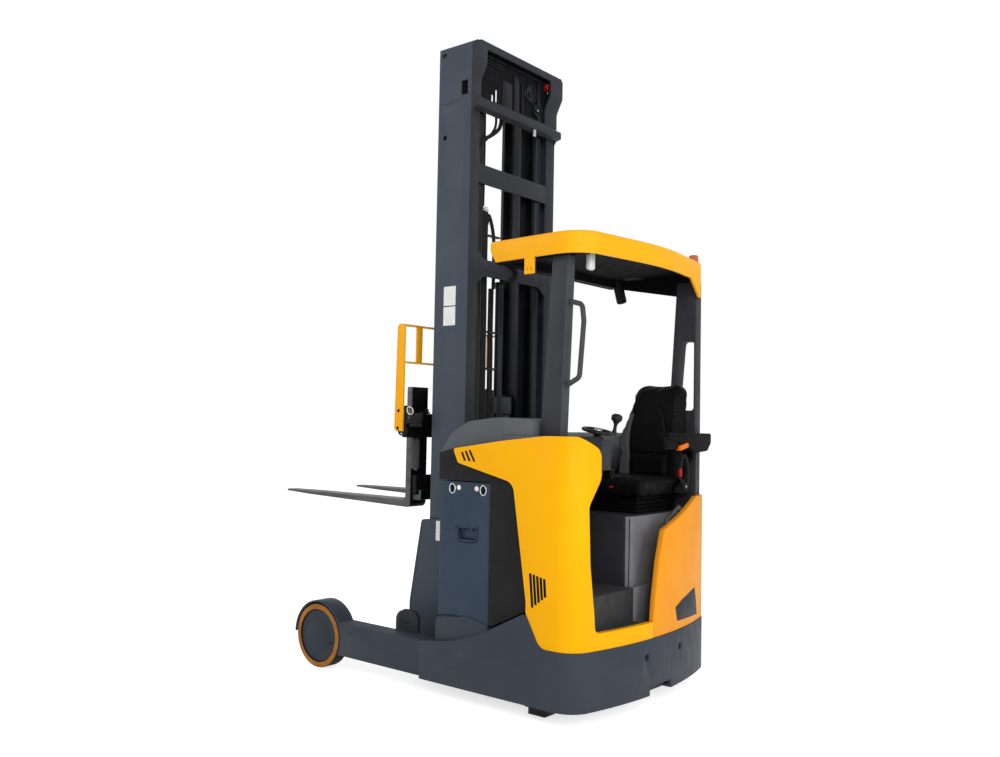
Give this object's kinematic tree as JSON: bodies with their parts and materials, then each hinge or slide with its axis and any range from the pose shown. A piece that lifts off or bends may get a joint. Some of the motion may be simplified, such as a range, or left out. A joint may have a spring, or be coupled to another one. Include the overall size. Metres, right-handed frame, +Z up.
{
  "type": "reach truck",
  "caption": "Sit-on electric reach truck: telescopic mast on a reach carriage between wheeled legs, side-facing cab with overhead guard, battery bay and forks.",
  "frame": {"origin": "on the floor under the middle of the truck's length and width at rest", "axes": "+X forward towards the forks, +Y to the left, which the driver faces, +Z up"},
  "size_m": [2.486, 1.27, 3.381],
  "materials": {
    "frame": "slate grey textured enamel",
    "mast_inside": "dark grey enamel on rolled channel",
    "battery_case": "blue grey enamel",
    "black_iron": "satin black enamel",
    "load_tyre": "cast amber polyurethane",
    "wheel_disc": "slate enamel",
    "drive_tyre": "black rubber",
    "cover": "warm yellow gloss enamel",
    "dark_trim": "dark grey grained plastic",
    "moulding": "mid grey grained plastic",
    "controls": "black plastic",
    "floor_mat": "black ribbed rubber",
    "seat_trim": "black vinyl",
    "seat_mechanism": "black bellows",
    "handle": "light grey enamel on tube",
    "lamp": "white lens",
    "beacon_lens": "amber lens",
    "rod_steel": "ground steel",
    "forks": "forged steel with worn enamel"
  },
  "bodies": {
    "chassis": {"chassis_base": "frame", "drive_deck": "frame", "battery_tray": "frame", "battery": "battery_case", "leg_left": "frame", "leg_right": "frame", "stabiliser_foot": "black_iron", "drive_motor": "black_iron", "side_panel_left": "cover", "side_panel_right": "cover", "rear_cover": "cover", "entry_grip": "handle", "trim_left": "dark_trim", "trim_right": "dark_trim", "hood": "moulding", "dash_console": "moulding", "steering_column": "moulding", "control_levers": "controls", "pedals": "floor_mat", "cab_floor": "floor_mat", "seat_box": "moulding", "seat_base": "seat_mechanism", "seat_cushion": "seat_trim", "seat_back": "seat_trim", "armrest": "controls", "pillar_left": "frame", "pillar_rear": "frame", "roof_frame": "frame", "overhead_guard": "cover", "grab_handle": "handle", "cab_lamp": "lamp", "rear_beacon": "beacon_lens", "rear_view_camera": "controls", "reach_barrel": "black_iron"},
    "load_wheel_left": {"load_tyre_left": "load_tyre", "load_disc_left": "wheel_disc"},
    "load_wheel_right": {"load_tyre_right": "load_tyre", "load_disc_right": "wheel_disc"},
    "drive_head": {"drive_turntable": "black_iron"},
    "drive_wheel": {"drive_tyre": "drive_tyre", "drive_rim": "wheel_disc"},
    "hand_wheel": {"steering_wheel": "controls"},
    "mast_base": {"reach_carriage": "frame", "reach_rollers": "rod_steel", "reach_rod": "rod_steel", "outer_rail_left": "frame", "outer_rail_right": "frame", "mast_head": "frame", "mast_cross_bars": "frame", "lift_barrels": "mast_inside"},
    "mast_middle": {"middle_mast": "mast_inside", "lift_rods": "rod_steel"},
    "mast_inner": {"inner_mast": "mast_inside"},
    "carriage": {"fork_carriage": "black_iron", "load_backrest": "cover"},
    "fork_l": {"fork_left": "forks"},
    "fork_r": {"fork_right": "forks"}
  },
  "joints": [
    {"name": "load_wheel_left_spin", "type": "hinge", "parent": "chassis", "child": "load_wheel_left", "pos_m": [0.538, 0.6, 0.1715], "axis": [0, 1, 0], "continuous": true},
    {"name": "load_wheel_right_spin", "type": "hinge", "parent": "chassis", "child": "load_wheel_right", "pos_m": [0.538, -0.6, 0.1715], "axis": [0, 1, 0], "continuous": true},
    {"name": "drive_steer", "type": "hinge", "parent": "chassis", "child": "drive_head", "pos_m": [-0.904, -0.12, 0.4], "axis": [0, 0, 1], "range_deg": [-90, 90]},
    {"name": "drive_wheel_spin", "type": "hinge", "parent": "drive_head", "child": "drive_wheel", "pos_m": [-0.904, -0.12, 0.1715], "axis": [0, 1, 0], "continuous": true},
    {"name": "hand_wheel_turn", "type": "hinge", "parent": "chassis", "child": "hand_wheel", "pos_m": [-1.044, 0.29, 1.325], "axis": [-0.2011, 0, 0.9796], "continuous": true},
    {"name": "mast_reach", "type": "slide", "parent": "chassis", "child": "mast_base", "axis": [1, 0, 0], "range_m": [0, 0.5]},
    {"name": "middle_mast_lift", "type": "slide", "parent": "mast_base", "child": "mast_middle", "axis": [0, 0, 1], "range_m": [0, 2.7]},
    {"name": "inner_mast_lift", "type": "slide", "parent": "mast_middle", "child": "mast_inner", "axis": [0, 0, 1], "range_m": [0, 2.7]},
    {"name": "fork_carriage_lift", "type": "slide", "parent": "mast_inner", "child": "carriage", "axis": [0, 0, 1], "range_m": [-0.842, 1.35]},
    {"name": "fork_left_spread", "type": "slide", "parent": "carriage", "child": "fork_l", "axis": [0, 1, 0], "range_m": [-0.06, 0.04]},
    {"name": "fork_right_spread", "type": "slide", "parent": "carriage", "child": "fork_r", "axis": [0, -1, 0], "range_m": [-0.06, 0.04]}
  ],
  "couplings": [
    {"joint": "inner_mast_lift", "follows": "middle_mast_lift", "ratio": 1}
  ]
}
